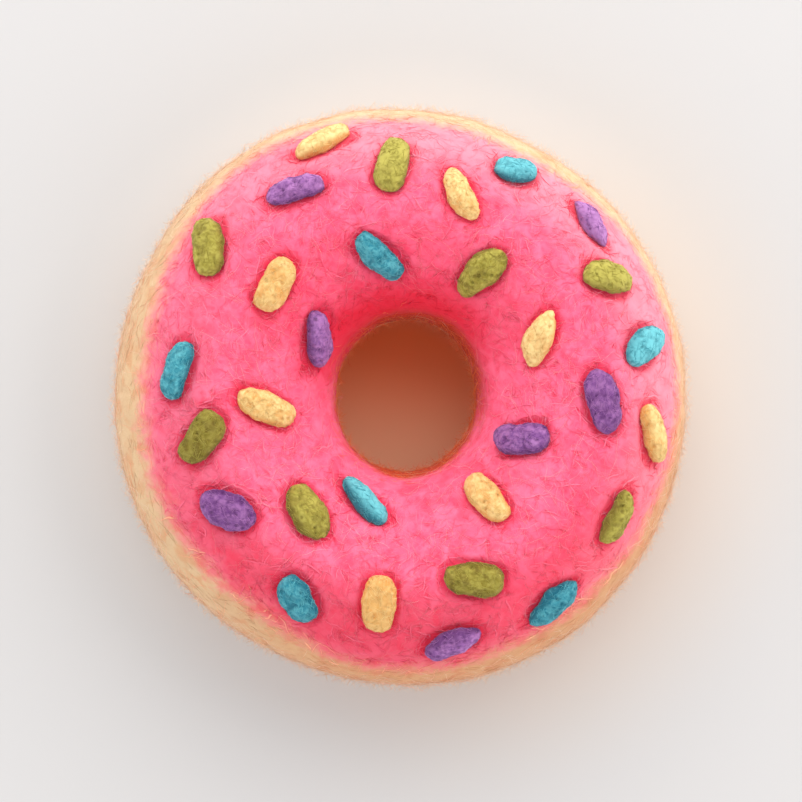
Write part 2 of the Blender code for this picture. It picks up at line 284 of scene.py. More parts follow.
def section(bearing):
    """The reach of the middle of the ring's section, and half its width."""
    outer = OUTLINE_RADIUS + swell(bearing, OUTLINE_WAVES)
    inner = HOLE_RADIUS + swell(bearing, HOLE_WAVES)
    return (outer + inner) / 2, (outer - inner) / 2


def half_height(lift):
    return np.where(np.sin(lift) > 0, CROWN_RISE, BELLY_DROP)


def unit(vectors):
    return vectors / np.linalg.norm(vectors, axis=-1, keepdims=True)


def outward(bearing, lift):
    _, half_width = section(bearing)
    across = np.cos(lift) / half_width
    up = np.sin(lift) / half_height(lift)
    return unit(np.stack((across * np.cos(bearing), across * np.sin(bearing), up), axis=-1))


def slow_noise(points, size=LUMP_SIZE):
    """The slow unevenness of hand felting, from -1 to 1."""
    spots = points.reshape(-1, 3) / size
    return np.array([noise.noise(Vector(spot)) for spot in spots]).reshape(points.shape[:-1])


def ring_point(bearing, lift, above=0.0):
    """Points on the ring's surface, or a distance above it."""
    middle, half_width = section(bearing)
    reach = middle + half_width * np.cos(lift)
    height = GIRTH_HEIGHT + half_height(lift) * np.sin(lift)
    points = np.stack((reach * np.cos(bearing), reach * np.sin(bearing), height), axis=-1)
    lump = LUMP_RISE * slow_noise(points) * smooth_step(height / LUMP_FADE_HEIGHT)
    points = points + outward(bearing, lift) * (above + lump)[..., None]
    points[..., 2] = np.maximum(points[..., 2], 0.0)
    return points


def lift_at(bearing, reach):
    middle, half_width = section(bearing)
    return np.arccos(np.clip((reach - middle) / half_width, -1.0, 1.0))


def icing_edges(bearing):
    """The lifts of the icing's outer and inner edges."""
    outer = lift_at(bearing, curve_through(ICING_EDGE_REACH, bearing))
    inner_drop = INNER_EDGE_DROP - INNER_EDGE_SWAY * np.cos(bearing)
    return outer, np.radians(90.0 + inner_drop)


def inset(bearing, lift):
    """How far inside the icing's edge a place is, along the surface: below 0 on bare ring."""
    outer, inner = icing_edges(bearing)
    return np.minimum(lift - outer, inner - lift) * CROWN_RISE


def blend_inset(bearing, lift):
    """The same for the colour's edge, which lies further down in the hole and is sharper there."""
    outer, inner = icing_edges(bearing)
    for middle, slip, narrowness in BLEND_SLIPS:
        near = np.maximum(np.cos(bearing - math.radians(middle)), 0.0) ** narrowness
        outer = outer + slip * MM / CROWN_RISE * near
    for middle, slip, narrowness in HOLE_BLEND_SLIPS:
        inner = inner + slip * np.maximum(np.cos(bearing - math.radians(middle)), 0.0) ** narrowness
    inner_side = (inner - lift) * HOLE_BLEND_SHARE
    return np.minimum(lift - outer, inner_side) * CROWN_RISE


def stretch(bearing, lift, middle, start, growth, edge, fade):
    """1 in one stretch of the ring's surface, fading out round it."""
    round_ring = smooth_step((np.cos(bearing - math.radians(middle)) - start) / growth)
    return round_ring * smooth_step((lift - math.radians(edge)) / math.radians(fade))


def painted_shading(bearing, lift):
    """Where painted shade turns the wool deep red, amber, straw and dusky pink, and painted light turns the
    pink pale.
    """
    # Painted shade: deep red by and in the hole and low down on the outer slope
    red = 0.27 * stretch(bearing, lift, *RED_SHADE_BY_HOLE) + 0.6 * stretch(bearing, lift, *RED_SHADE_IN_HOLE)
    return {
        "red": np.maximum(red, 0.5 * stretch(bearing, lift, *RED_SHADE_LOW_DOWN)),
        "low": stretch(bearing, lift, *LOW_BUTTER_SHADE),
        "dull": stretch(bearing, lift, *LEFT_BUTTER_SHADE),
        "pink_shade": stretch(bearing, lift, *LOWER_PINK_SHADE),
        "painted_light": 0.8 * stretch(bearing, lift, *UPPER_PINK_LIGHT),
    }


def felt_fields(bearing, lift):
    """What colours a felt: its painted light and shade, how far inside the pink it is, and the painted shade
    of the wool down in the hole.
    """
    return {
        "inset": blend_inset(bearing, lift) / MM,
        "hole_shade": smooth_step((lift - math.radians(HOLLOW_START)) / math.radians(HOLLOW_FADE)),
        "brown_shade": stretch(bearing, lift, *BROWN_SHADE_IN_HOLE),
        **painted_shading(bearing, lift),
    }


def icing_top(bearing, lift):
    return ring_point(bearing, lift, ICING_PROUD * smooth_step(inset(bearing, lift) / ICING_RAMP))


def sprinkle_frames(spots, along):
    """The icing under places seen from above: the point, outward and sideways."""
    bearing = np.arctan2(spots[:, 1], spots[:, 0])
    lift = lift_at(bearing, np.hypot(spots[:, 0], spots[:, 1]))
    up = outward(bearing, lift)
    side = unit(np.cross(up, (along[0], along[1], 0.0)))
    return icing_top(bearing, lift), up, side


def window_way():
    """The way to the window."""
    bearing, lift = math.radians(WINDOW_BEARING), math.radians(WINDOW_LIFT)
    return np.array((math.cos(lift) * math.cos(bearing), math.cos(lift) * math.sin(bearing), math.sin(lift)))


def plan_vector(degrees, length):
    return length * np.array((math.cos(math.radians(degrees)), math.sin(math.radians(degrees))))


def near_sprinkles(points):
    """How far each point is outside the nearest sprinkle's outline, and the way along that outline."""
    nearest = np.full(points.shape[:-1], 10 * MM)
    along_outline = np.zeros(points.shape)
    for _, bearing, reach, turn, length, width, ends, _ in SPRINKLES:
        middle = plan_vector(bearing, reach * MM)
        place, up, side = (rows[0] for rows in sprinkle_frames(middle[None], plan_vector(turn, 1.0)))
        forward = np.cross(side, up)
        offset = points - place
        close = np.linalg.norm(offset, axis=-1) < length * MM
        ahead = offset[close] @ forward / (length * MM / 2)
        across = offset[close] @ side / (width * MM / 2)
        outside = ((np.abs(ahead) ** ends + np.abs(across) ** ends) ** (1 / ends) - 1) * width * MM / 2
        level = np.stack((np.sign(ahead) * np.abs(ahead) ** (ends - 1) / length,
                          np.sign(across) * np.abs(across) ** (ends - 1) / width), axis=-1)
        tangent = unit(level[:, :1] * side - level[:, 1:] * forward + 1e-9)
        closer = outside < nearest[close]
        spots = np.argwhere(close)[closer]
        nearest[tuple(spots.T)] = outside[closer]
        along_outline[tuple(spots.T)] = tangent[closer]
    return np.maximum(nearest, 0.0), along_outline


def mesh_object(name, verts, faces, fields):
    """An object of these points and faces, smooth, with its faces turned outwards."""
    mesh = bpy.data.meshes.new(name)
    mesh.from_pydata(verts.tolist(), [], faces)
    mesh.validate()
    mesh.calc_loop_triangles()
    corners = np.empty(len(mesh.loop_triangles) * 3, np.int32)
    mesh.loop_triangles.foreach_get("vertices", corners)
    a, b, c = verts[corners.reshape(-1, 3)].transpose(1, 0, 2)
    if np.einsum("ij,ij->i", a, np.cross(b, c)).sum() < 0:
        mesh.flip_normals()
    mesh.shade_smooth()
    for field, values in fields.items():
        values = values.astype(np.float32).ravel()
        kind, key = ("FLOAT", "value") if len(values) == len(verts) else ("FLOAT_VECTOR", "vector")
        mesh.attributes.new(field, kind, "POINT").data.foreach_set(key, values)
    obj = bpy.data.objects.new(name, mesh)
    bpy.context.scene.collection.objects.link(obj)
    return obj


def loop_faces(columns, rows):
    """Quads of a grid that is closed both ways, with points in column order."""
    column, row = np.meshgrid(np.arange(columns), np.arange(rows), indexing="ij")
    ahead, above = (column + 1) % columns, (row + 1) % rows
    corners = (column * rows + row, column * rows + above, ahead * rows + above, ahead * rows + row)
    return np.stack(corners, axis=-1).reshape(-1, 4).tolist()


def bearings(count):
    return np.linspace(0.0, math.tau, count, endpoint=False)[:, None]


def between(start, end, rows, ends=True):
    """Lifts from start to end at every bearing, evenly spaced."""
    return start + (end - start) * np.linspace(0.0, 1.0, rows, endpoint=ends)[None, :]


def icing_piece():
    """The icing: a closed shell whose edges dive into the ring's wool."""
    around = bearings(COLUMNS)
    outer, inner = icing_edges(around)
    tuck = EDGE_TUCK / CROWN_RISE
    lift = between(outer - tuck, inner + tuck, ICING_ROWS)
    inside = inset(around, lift)
    above = ICING_PROUD * smooth_step(inside / ICING_RAMP)
    above = above - EDGE_TUCK * (1 - smooth_step((inside + EDGE_TUCK) / (2 * EDGE_TUCK)))
    bare = ring_point(around, lift, above)
    crease = thinning(near_sprinkles(bare)[0], CREASE_WIDTH)
    top = bare - outward(around, lift) * (CREASE_DEPTH * crease)[..., None]
    under_lift = between(outer - tuck / 2, inner + tuck / 2, UNDER_ROWS)
    thickness = ICING_THICKNESS * (0.5 + 0.5 * smooth_step(inset(around, under_lift) / ICING_RAMP))
    under = ring_point(around, under_lift, -thickness)
    points = np.concatenate((top, under[:, ::-1]), axis=1)
    hidden = np.zeros(under.shape[:2])
    loft = smooth_step((inside + EDGE_TUCK) / MM)
    fields = {"crease": crease, "loft": loft, **felt_fields(around, lift)}
    fields = {name: np.concatenate((values, hidden), axis=1) for name, values in fields.items()}
    return mesh_object("icing_felt", points.reshape(-1, 3), loop_faces(*points.shape[:2]), fields)


def ring_piece():
    """The ring of wool under the icing, with its flat foot."""
    around = bearings(COLUMNS)
    outer, inner = icing_edges(around)
    foot_half = math.acos(GIRTH_HEIGHT / BELLY_DROP)
    foot_start, foot_end = math.radians(270) - foot_half, math.radians(270) + foot_half
    shown = RING_SHOWN / CROWN_RISE
    turns = (
        outer + shown, inner - shown, np.full_like(inner, foot_start), np.full_like(inner, foot_end),
        math.tau + outer + shown,
    )
    parts = [between(start, end, rows, ends=False) for start, end, rows in zip(turns, turns[1:], RING_ROWS)]
    lift = np.concatenate(parts, axis=1)
    shown_lift = np.where(lift > math.radians(270), lift - math.tau, lift)
    inside = inset(around, shown_lift)
    above = -ICING_THICKNESS * smooth_step((inside - BED_START) / ICING_RAMP)
    points = ring_point(around, lift, above)
    fields = {
        "crease": np.zeros(points.shape[:2]),
        "loft": smooth_step(points[..., 2] / FOOT_FADE),
        **felt_fields(around, shown_lift),
    }
    return mesh_object("ring_felt", points.reshape(-1, 3), loop_faces(*points.shape[:2]), fields)


def skin_piece():
    """The outer skin of ring and icing together, which the loose fibres grow on."""
    around = bearings(SKIN_COLUMNS)
    lift = np.repeat(between(*map(math.radians, SKIN_LIFTS), SKIN_ROWS), SKIN_COLUMNS, axis=0)
    points = icing_top(around, lift)
    away, along_outline = near_sprinkles(points)
    crease = thinning(away, CREASE_WIDTH)
    points = points - outward(around, lift) * (CREASE_DEPTH * crease)[..., None]
    column, row = np.meshgrid(np.arange(SKIN_COLUMNS), np.arange(SKIN_ROWS - 1), indexing="ij")
    ahead = (column + 1) % SKIN_COLUMNS
    corners = (column, row), (column, row + 1), (ahead, row + 1), (ahead, row)
    faces = np.stack([c * SKIN_ROWS + r for c, r in corners], axis=-1).reshape(-1, 4)
    pink = smooth_step((blend_inset(around, lift) / MM - BLEND_OUT) / (BLEND_IN - BLEND_OUT))
    low = smooth_step((points[..., 2] - 1 * MM) / (3 * MM))
    open_wool = low * (crease < 0.95)
    round_ring = np.stack(np.broadcast_arrays(-np.sin(around), np.cos(around), 0 * lift), axis=-1)
    over = np.cross(outward(around, lift), round_ring)
    turn = (math.tau * SWIRL_TURN * slow_noise(points, SWIRL_SIZE) * pink)[..., None]
    lay = np.cos(turn) * round_ring + np.sin(turn) * over
    near = 3 * thinning(away, LAY_WIDTH)[..., None]
    degrees = np.degrees(lift)
    down_hole = smooth_step((lift - math.radians(ICED_END)) / math.radians(ICED_FADE))
    fields = {
        "iced": pink * open_wool * (1 - down_hole),
        "edge": pink,
        "bare": (1 - pink) ** 2 * low,
        "all": open_wool,
        "rim": low * thinning(degrees, RIM_SPREAD),
        "cuff": thinning(away, CUFF_WIDTH) * (away > 0),
        "throat": thinning(degrees - THROAT_LIFT, THROAT_SPREAD) * (0.8 + 0.2 * np.cos(around - 0.5)),
        "lay": unit(lay + near * along_outline),
        **painted_shading(around, lift),
    }
    return mesh_object("skin", points.reshape(-1, 3), faces.tolist(), fields)


def sprinkle_points(index, bearing, reach, turn, length, width, ends, tone):
    """One sprinkle's points from tip to tip, a little bent and uneven as felted ones are, and its fields."""
    middle = plan_vector(bearing, reach * MM)
    along = plan_vector(turn, length * SPRINKLE_SHRINK * MM / 2)
    half_width, half_thickness = width * SPRINKLE_SHRINK * MM / 2, (SPRINKLE_RISE + SPRINKLE_ROOT) / 2
    share = -np.cos(math.pi * np.arange(1, SPRINKLE_RINGS + 1) / (SPRINKLE_RINGS + 1))
    draw = np.random.default_rng(SPRINKLE_SEED + index)
    bend = draw.uniform(-SPRINKLE_BEND, SPRINKLE_BEND) * MM
    taper = draw.uniform(-SPRINKLE_TAPER, SPRINKLE_TAPER)
    wave, phase = draw.uniform(*SPRINKLE_WAVE), draw.uniform(0, math.tau)
    place, up, side = sprinkle_frames(middle + along * share[:, None], along)
    fullness = (1 - np.abs(share) ** ends) ** (1 / ends)
    waves = wave * np.sin(4.5 * share + phase), 0.5 * wave * np.sin(9 * share - phase)
    girth = fullness * (1 + taper * share + waves[0] + waves[1])
    core = place + up * ((half_thickness - SPRINKLE_ROOT) * fullness)[:, None]
    core = core + side * (bend * (1 - 2 * share**2))[:, None]
    angle = np.linspace(0, math.tau, SPRINKLE_SIDES, endpoint=False)
    spread = side[:, None] * (half_width * np.cos(angle))[None, :, None]
    spread = spread + up[:, None] * (half_thickness * np.sin(angle))[None, :, None]
    rings = core[:, None] + spread * girth[:, None, None]
    tips = sprinkle_frames(middle + along * np.array(((-1.0,), (1.0,))), along)
    tip_points = tips[0] - tips[2] * bend
    points = np.concatenate((tip_points[:1], rings.reshape(-1, 3), tip_points[1:]))
    cores = np.concatenate((place[:1], np.repeat(core, SPRINKLE_SIDES, axis=0), place[-1:]))
    from_core = unit(points - cores + 1e-9)
    points = points + from_core * (SPRINKLE_LUMP * slow_noise(points, SPRINKLE_LUMP_SIZE))[:, None]
    shown = np.tile(np.sin(angle) > HIDDEN_BELOW, SPRINKLE_RINGS)
    # Painted shade: deeper wool low on a sprinkle's sides, reaching higher on the side and end that face the
    # crown and on sprinkles low in the view
    open_way = up * (1.0, 1.0, 0.0)
    sideways = np.sum(side * open_way, axis=1)[:, None] * np.cos(angle)
    endways = np.sum(np.cross(side, up) * open_way, axis=1) * share
    light = np.sin(angle) + 0.7 * sideways + 0.4 * endways[:, None] + 0.2 * math.sin(math.radians(bearing))
    shadow = (1.0 - smooth_step(light / SPRINKLE_SHADE)) * (1.0 - 0.7 * max(tone, 0.0))
    forward = np.repeat(np.cross(side, up), SPRINKLE_SIDES, axis=0)
    ends_lay = np.cross(tips[2], tips[1])
    # Painted light: paler where the sprinkle faces the window, with its tone added
    facing = PALEST * smooth_step((np.sum(up * window_way(), axis=1) - PALE_START) / PALE_GROWTH)
    painted_light = np.repeat(np.clip(facing + tone, 0.0, 1.0), SPRINKLE_SIDES)
    shadow = np.maximum(shadow, -1.2 * (facing + tone)[:, None])
    # Its fields carry that painted shade and painted light to its wool
    fields = {
        "loft": np.ones(len(points)),
        "painted_light": np.concatenate((painted_light[:1], painted_light, painted_light[-1:])),
        "root": np.concatenate(((1,), shadow.ravel(), (1,))),
        "shown": np.concatenate(((0,), shown, (0,))),
        "lay": np.concatenate((ends_lay[:1], forward, ends_lay[1:])),
    }
    return points, fields


def sprinkle_faces(first):
    """Faces of one sprinkle whose points start at first: a tip, the rings, the other tip."""
    sides, last = SPRINKLE_SIDES, first + 1 + SPRINKLE_RINGS * SPRINKLE_SIDES
    faces = []
    for ring in range(SPRINKLE_RINGS - 1):
        start = first + 1 + ring * sides
        for side in range(sides):
            ahead = (side + 1) % sides
            faces.append((start + side, start + ahead, start + sides + ahead, start + sides + side))
    for side in range(sides):
        ahead = (side + 1) % sides
        faces.append((first, first + 1 + ahead, first + 1 + side))
        faces.append((last, last - sides + side, last - sides + ahead))
    return faces


def sprinkle_piece(colour):
    """All the sprinkles of one colour."""
    made = [sprinkle_points(index, *row[1:]) for index, row in enumerate(SPRINKLES) if row[0] == colour]
    verts = np.concatenate([points for points, _ in made])
    fields = {name: np.concatenate([values[name] for _, values in made]) for name in made[0][1]}
    faces = []
    for number in range(len(made)):
        faces += sprinkle_faces(number * len(made[0][0]))
    return mesh_object(f"{colour}_sprinkles", verts, faces, fields)


class Socket:
    """An output of a node; arithmetic on it adds Math or Vector Math nodes to its tree."""

    def __init__(self, tree, output):
        self.tree = tree
        self.output = output

    def _math(self, operation, *values):
        vector = any(isinstance(v, Socket) and v.output.type in ("VECTOR", "RGBA") for v in values)
        kind, name = ("ShaderNodeVectorMath", "Vector") if vector else ("ShaderNodeMath", "Value")
        values = [(v,) * 3 if vector and isinstance(v, (int, float)) else v for v in values]
        inputs = dict(zip((name, f"{name}_001", f"{name}_002"), values))
        return self.tree.add(kind, {"operation": operation}, inputs)

    def __add__(self, other):
        return self._math("ADD", self, other)

    __radd__ = __add__

    def __sub__(self, other):
        return self._math("SUBTRACT", self, other)

    def __rsub__(self, other):
        return self._math("SUBTRACT", other, self)

    def __mul__(self, other):
        return self._math("MULTIPLY", self, other)

    __rmul__ = __mul__

    def __truediv__(self, other):
        return self._math("DIVIDE", self, other)

    def __rtruediv__(self, other):
        return self._math("DIVIDE", other, self)

    def __pow__(self, other):
        return self._math("POWER", self, other)

    def abs(self):
        return self._math("ABSOLUTE", self)

    def ease(self, low, high):
        """0 at low and 1 at high, with a smooth way between."""
        inputs = {"Value": self, "From Min": low, "From Max": high}
        settings = {"interpolation_type": "SMOOTHSTEP"}
        return self.tree.add("ShaderNodeMapRange", settings, inputs)

    def mix(self, first, second):
        """From the colour first where this is 0 to the colour second where it is 1."""
        inputs = {"Factor_Float": self, "A_Color": first, "B_Color": second}
        return self.tree.add("ShaderNodeMix", {"data_type": "RGBA"}, inputs, "Result_Color")


class Tree:
    """A node tree that is filled node by node."""

    def __init__(self, group):
        self.group = group

    def add(self, kind, settings=None, inputs=None, output=0):
        """Adds a node, with its settings set first, and gives one of its outputs."""
        node = self.group.nodes.new(kind)
        for name, value in (settings or {}).items():
            setattr(node, name, value)
        for name, value in (inputs or {}).items():
            socket = next(s for s in node.inputs if name in (s.identifier, s.name))
            if isinstance(value, Socket):
                self.group.links.new(value.output, socket)
            else:
                socket.default_value = value
        if isinstance(output, str):
            output = next(i for i, s in enumerate(node.outputs) if output in (s.identifier, s.name))
        return Socket(self, node.outputs[output])

    def field(self, name):
        """A field that the mesh in hand carries, for its material."""
        return self.add("ShaderNodeAttribute", {"attribute_name": name}, {}, "Fac")

    def stored(self, name, kind="FLOAT"):
        """The same for a geometry tree."""
        return self.add("GeometryNodeInputNamedAttribute", {"data_type": kind}, {"Name": name})

    def store(self, geometry, name, value, kind="FLOAT"):
        """The geometry with one more field."""
        values = {"Geometry": geometry, "Name": name, "Value": value}
        return self.add("GeometryNodeStoreNamedAttribute", {"data_type": kind}, values)

    def link(self, output, node, socket):
        """Links an output to an input of a node that is there."""
        self.group.links.new(output.output, node.inputs[socket])


def geometry_tree(name, sizes):
    """An empty geometry tree with a geometry input, named inputs and a geometry output."""
    group = bpy.data.node_groups.new(name, "GeometryNodeTree")
    group.interface.new_socket("Geometry", in_out="OUTPUT", socket_type="NodeSocketGeometry")
    group.interface.new_socket("Geometry", in_out="INPUT", socket_type="NodeSocketGeometry")
    for label, kind in sizes.items():
        group.interface.new_socket(label, in_out="INPUT", socket_type=f"NodeSocket{kind}")
    tree = Tree(group)
    start = group.nodes.new("NodeGroupInput")
    given = {s.name: Socket(tree, s) for s in start.outputs if s.name}
    return tree, given


def close_tree(tree, geometry, material):
    """Ends the tree in Realize Instances and Set Material."""
    real = tree.add("GeometryNodeRealizeInstances", {}, {"Geometry": geometry})
    finished = tree.add("GeometryNodeSetMaterial", {}, {"Geometry": real, "Material": material})
    tree.link(finished, tree.group.nodes.new("NodeGroupOutput"), "Geometry")


def noise_texture(tree, position, scale, detail, output="Fac", distortion=0.0):
    inputs = {"Vector": position, "Scale": scale, "Detail": detail, "Distortion": distortion}
    return tree.add("ShaderNodeTexNoise", {}, inputs, output)


def relief_tree():
    """Raises a surface into tufts and pricks it with needle dimples."""
    sizes = {
        "Tuft Size": "Float", "Tuft Rise": "Float", "Dimple Spacing": "Float",
        "Dimple Depth": "Float", "Seed": "Float", "Material": "Material",
    }
    tree, given = geometry_tree("felt_relief", sizes)
    position = tree.add("GeometryNodeInputPosition") + given["Seed"]
    tuft = noise_texture(tree, position, 1.0 / given["Tuft Size"], 3.0, distortion=0.4) - 0.5
    cells = {"Vector": position, "Scale": 1.0 / given["Dimple Spacing"], "Randomness": 1.0}
    distance = tree.add("ShaderNodeTexVoronoi", {"feature": "F1"}, cells, "Distance")
    lottery = tree.add("ShaderNodeTexVoronoi", {"feature": "F1"}, cells, "Color")
    share = tree.add("ShaderNodeSeparateXYZ", {}, {"Vector": lottery}, "X")
    dimple = distance.ease(0.5, 0.05) * share.ease(0.3, 0.9)
    loft = tree.stored("loft")
    rise = (tuft * 2.0 * given["Tuft Rise"] - dimple * given["Dimple Depth"]) * loft
    offset = tree.add("GeometryNodeInputNormal") * rise
    shape = tree.store(given["Geometry"], "dimple", dimple * loft)
    moved = tree.add("GeometryNodeSetPosition", {}, {"Geometry": shape, "Offset": offset})
    close_tree(tree, moved, given["Material"])
    return tree.group


def fibre_tree():
    """Grows curly fibres over a surface, most lying on it and some standing off at one end."""
    sizes = {
        "Where": "String", "Density": "Float", "Length": "Float", "Thickness": "Float",
        "Curl": "Float", "Curl Size": "Float", "Height": "Float", "Rise": "Float",
        "Follow": "Float", "Points": "Int", "Seed": "Int", "Material": "Material",
    }
    tree, given = geometry_tree("wool_fibres", sizes)

    def draw(low, high, salt, kind="FLOAT"):
        names = ("Min", "Max") if kind == "FLOAT_VECTOR" else ("Min_001", "Max_001")
        output = "Value" if kind == "FLOAT_VECTOR" else "Value_001"
        seed = given["Seed"] + salt
        inputs = {names[0]: low, names[1]: high, "Seed": seed}
        return tree.add("FunctionNodeRandomValue", {"data_type": kind}, inputs, output)

    where = tree.stored(given["Where"])
    scatter = {"Mesh": given["Geometry"], "Density": given["Density"] * where, "Seed": given["Seed"]}
    roots = tree.add("GeometryNodeDistributePointsOnFaces", {}, scatter, "Points")
    node = roots.output.node
    upright = Socket(tree, node.outputs["Rotation"])
    lay = tree.stored("lay", "FLOAT_VECTOR")
    either_way = tree.add("ShaderNodeMath", {"operation": "SIGN"}, {"Value": draw(-1.0, 1.0, 6)})
    stray = draw((-1,) * 3, (1,) * 3, 1, "FLOAT_VECTOR") * (1.0 - given["Follow"])
    way = stray + lay * (either_way * given["Follow"])
    turned = tree.add("FunctionNodeAlignRotationToVector", {"axis": "X", "pivot_axis": "Z"},
                      {"Rotation": upright, "Vector": way})
    for name, field, kind in (
        ("tone", draw(0.0, 1.0, 2), "FLOAT"),
        ("stance", draw(0.0, 1.0, 3), "FLOAT"),
        ("strand", draw((0,) * 3, (60,) * 3, 4, "FLOAT_VECTOR"), "FLOAT_VECTOR"),
    ):
        roots = tree.store(roots, name, field, kind)
    line = tree.add("GeometryNodeCurvePrimitiveLine", {}, {"Start": (-0.5, 0, 0), "End": (0.5, 0, 0)})
    line = tree.add("GeometryNodeResampleCurve", {}, {"Curve": line, "Count": given["Points"]})
    length = given["Length"] * draw(0.45, 1.3, 5)
    placed = {"Points": roots, "Instance": line, "Rotation": turned, "Scale": length}
    fibres = tree.add("GeometryNodeInstanceOnPoints", {}, placed)
    fibres = tree.add("GeometryNodeRealizeInstances", {}, {"Geometry": fibres})

    position = tree.add("GeometryNodeInputPosition")
    way = position / given["Curl Size"] + tree.stored("strand", "FLOAT_VECTOR")
    sway = (noise_texture(tree, way, 1.0, 1.0, "Color") - 0.5) * (2.0 * given["Curl"])
    swayed = position + sway
    skin = given["Geometry"]
    foot = tree.add("GeometryNodeProximity", {"target_element": "FACES"},
                    {"Target": skin, "Source Position": swayed}, "Position")
    normal = tree.add("GeometryNodeInputNormal")
    up = tree.add("GeometryNodeSampleNearestSurface", {"data_type": "FLOAT_VECTOR"},
                  {"Mesh": skin, "Value": normal, "Sample Position": swayed})
    along = tree.add("GeometryNodeSplineParameter", {}, {}, "Factor")
    stance = tree.stored("stance")
    height = given["Height"] * (0.4 + stance) + given["Rise"] * stance ** 2.0 * along ** 2.0
    settled = foot + up * height
    fibres = tree.add("GeometryNodeSetPosition", {}, {"Geometry": fibres, "Position": settled})
    taper = 1.0 - 0.75 * (2.0 * along - 1.0).abs() ** 3.0
    bar = tree.add("GeometryNodeCurvePrimitiveCircle", {}, {"Resolution": 3, "Radius": 0.5})
    tubes = {"Curve": fibres, "Profile Curve": bar, "Scale": given["Thickness"] * taper, "Fill Caps": True}
    mesh = tree.add("GeometryNodeCurveToMesh", {}, tubes)
    close_tree(tree, mesh, given["Material"])
    return tree.group


def grown(name, source, group, **values):
    """What a geometry tree makes of a piece, as a plain mesh in an object of its own."""
    obj = bpy.data.objects.new(name, source.data)
    bpy.context.scene.collection.objects.link(obj)
    modifier = obj.modifiers.new(group.name, "NODES")
    modifier.node_group = group
    sockets = {s.name.replace(" ", "_").lower(): s for s in group.interface.items_tree
               if s.in_out == "INPUT"}
    for key, value in values.items():
        modifier[sockets[key].identifier] = value
    graph = bpy.context.evaluated_depsgraph_get()
    mesh = bpy.data.meshes.new_from_object(obj.evaluated_get(graph))
    obj.modifiers.remove(modifier)
    obj.data = mesh
    mesh.name = name
    return obj


def material_tree(name):
    material = bpy.data.materials.new(name)
    material.use_nodes = True
    return material, Tree(material.node_tree), material.node_tree.nodes["Principled BSDF"]


def curly_lines(tree, place, scale, shift, width):
    """Thin curly lines like single fibres: where a slow noise crosses its middle value."""
    field = noise_texture(tree, place + shift, scale, 1.0, distortion=0.6)
    return (field - 0.5).abs().ease(width, 0.0)


def surface_wool(name, body, pale, deep, blended=False, line_scale=0.45, mottle_scale=0.4,
                 mottling=0.5, dimple_shade=0.5, shade=0.5, shade_scale=0.35):
    """Felt: wool crossed by paler fibres, with painted shade in its dimples and creases.

    A blended felt turns from pink to butter across the icing's edge.
    """
    material, tree, shader = material_tree(name)
    place = tree.add("ShaderNodeTexCoord", {}, {}, "Object") / MM
    lines = curly_lines(tree, place, line_scale, *LINES)
    for finer in FINER_LINES:
        more = curly_lines(tree, place, line_scale * FINER_LINE_SCALE, *finer)
        lines = tree.add("ShaderNodeMath", {"operation": "MAXIMUM"}, {"Value": lines, "Value_001": more})
    mottle = noise_texture(tree, place, mottle_scale, 2.5, distortion=0.8).ease(0.35, 0.7)
    grain = noise_texture(tree, place, 2.5, 2.0).ease(0.25, 0.75)
    if blended:
        inside = tree.field("inset")
        hole_shade = tree.field("hole_shade")
        tufts = noise_texture(tree, place + 53.0, 0.3, 2.0, distortion=1.0) - 0.5
        stray = (noise_texture(tree, place, 0.7, 3.0, distortion=1.5) - 0.5) * 3.0 + tufts * 4.0 + lines * 0.4
        pink = (inside + stray).ease(BLEND_OUT, BLEND_IN)
        low = tree.field("low")
        dull = tree.field("dull")
        # Painted shade: the butter goes amber on the lower right and straw on the left
        bare = [(low * 0.8).mix((dull * 0.8).mix(butter, straw), amber)
                for butter, straw, amber in zip(BUTTER, STRAW_PAINTED_SHADE, AMBER_PAINTED_SHADE)]
        # Painted shade with painted reflected light from the pink: the ring's wool turns orange down in the
        # hole
        body, pale, deep = (pink.mix(hole_shade.mix(butter, HOLE_PAINTED_SHADE), red) for butter, red in zip(bare, PINK))
    dimple = tree.field("dimple")
    crease = tree.field("crease")
    colour = (mottle * mottling).mix(body, pale)
    colour = (lines * 0.3).mix(colour, pale)
    # Painted light: the pink pales on the slope facing the window, and a sprinkle pales where it faces the
    # window
    painted_light = tree.field("painted_light")
    colour = (painted_light * pink).mix(colour, PINK_PAINTED_LIGHT) if blended else painted_light.mix(colour, pale)
    if blended:
        # Painted shade: a dusky pink on the lower left
        pink_shade = tree.field("pink_shade")
        colour = (pink_shade * pink * 0.5).mix(colour, PINK_PAINTED_SHADE)
    hollow_spots = noise_texture(tree, place + 29.0, shade_scale, 2.0, distortion=0.5).ease(0.56, 0.3)
    fresh = 1.0 - painted_light * 0.6
    colour = (hollow_spots * shade * fresh).mix(colour, deep)
    # Painted shade in the needle dimples
    colour = (dimple * dimple_shade * fresh).mix(colour, deep)
    if blended:
        # Painted shade: deep red by and in the hole and low down
        red = tree.field("red")
        colour = (red * pink).mix(colour, RED_PAINTED_SHADE)
        # Painted shade: brown at the top of the hole
        brown_shade = tree.field("brown_shade")
        colour = brown_shade.mix(colour, BROWN_PAINTED_SHADE)
    # Painted shade: deep red in the creases round the sprinkles, and deeper wool on the sprinkles' sides
    # turned from the light
    root = tree.field("root")
    colour = (crease * 0.7).mix(colour, CREASE_PAINTED_SHADE)
    colour = (root * 0.8).mix(colour, deep)
    height = grain * 0.5 + lines
    bump = tree.add("ShaderNodeBump", {}, {"Height": height, "Distance": 0.12 * MM, "Strength": 0.15})
    tree.link(colour, shader, "Base Color")
    tree.link(bump, shader, "Normal")
    finish_wool(shader, SURFACE_SHEEN)
    return material


